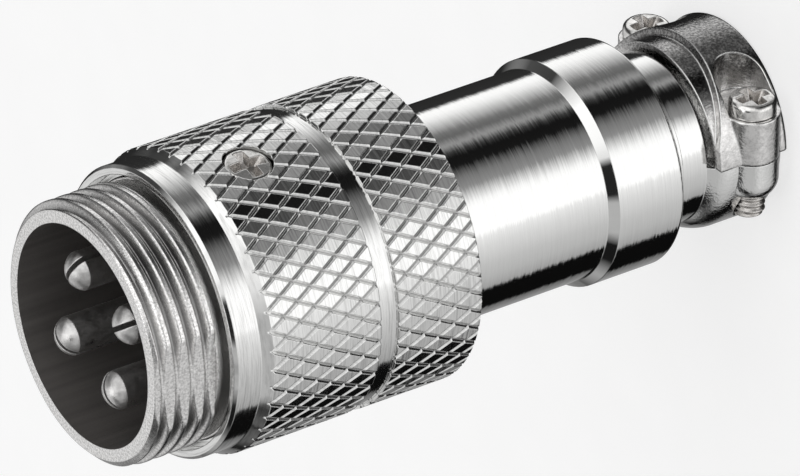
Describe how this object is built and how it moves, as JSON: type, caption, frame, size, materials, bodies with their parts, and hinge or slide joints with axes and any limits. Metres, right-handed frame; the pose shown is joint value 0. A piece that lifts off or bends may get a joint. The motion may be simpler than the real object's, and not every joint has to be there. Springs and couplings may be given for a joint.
{
  "type": "four-pin microphone plug",
  "caption": "Round metal cable plug with a threaded nose, contact pins inside it, a knurled sleeve and a two-screw cable clamp at the rear.",
  "frame": {"origin": "centre of the threaded nose's front rim", "axes": "+Z along the plug and out of its nose, with the plug standing on its clamp; -Y along the clamp screws towards their heads; +X completes the frame"},
  "size_m": [0.0186, 0.0186, 0.0459],
  "materials": {
    "nickel_plate": "bright nickel plate on turned brass",
    "brushed_nickel": "bright nickel plate, finely brushed round the barrel",
    "cast_nickel": "bright nickel plate on a slightly pitted die casting",
    "screw_steel": "nickel-plated steel",
    "contact_metal": "satin plated contact",
    "insulator_plastic": "matt moulded plastic"
  },
  "bodies": {
    "housing": {"knurled_sleeve": "nickel_plate", "rear_barrel": "brushed_nickel"},
    "contact_insert": {"threaded_shell": "nickel_plate", "insulator": "insulator_plastic", "contact_pin_1": "contact_metal", "contact_pin_2": "contact_metal", "contact_pin_3": "contact_metal", "contact_pin_4": "contact_metal"},
    "set_screw": {"set_screw": "screw_steel"},
    "clamp_saddle": {"clamp_saddle": "cast_nickel"},
    "clamp_screw_right": {"clamp_screw_right": "screw_steel"},
    "clamp_screw_left": {"clamp_screw_left": "screw_steel"}
  },
  "joints": [
    {"name": "insert_slide", "type": "slide", "parent": "housing", "child": "contact_insert", "axis": [0, 0, 1], "range_m": [0, 0.008]},
    {"name": "set_screw_travel", "type": "slide", "parent": "housing", "child": "set_screw", "axis": [-0.1908, -0.9816, 0], "range_m": [0, 0.001]},
    {"name": "saddle_lift", "type": "slide", "parent": "housing", "child": "clamp_saddle", "axis": [0, -1, 0], "range_m": [0, 0.002]},
    {"name": "clamp_screw_right_turn", "type": "hinge", "parent": "clamp_saddle", "child": "clamp_screw_right", "pos_m": [0.00525, -0.0033, -0.0438], "axis": [0, -1, 0], "range_deg": [0, 1800]},
    {"name": "clamp_screw_left_turn", "type": "hinge", "parent": "clamp_saddle", "child": "clamp_screw_left", "pos_m": [-0.00525, -0.0033, -0.0438], "axis": [0, -1, 0], "range_deg": [0, 1800]}
  ],
  "couplings": [
    {"joint": "clamp_screw_right_turn", "follows": "saddle_lift", "rad_per_m": 15708},
    {"joint": "clamp_screw_left_turn", "follows": "saddle_lift", "rad_per_m": 15708}
  ]
}
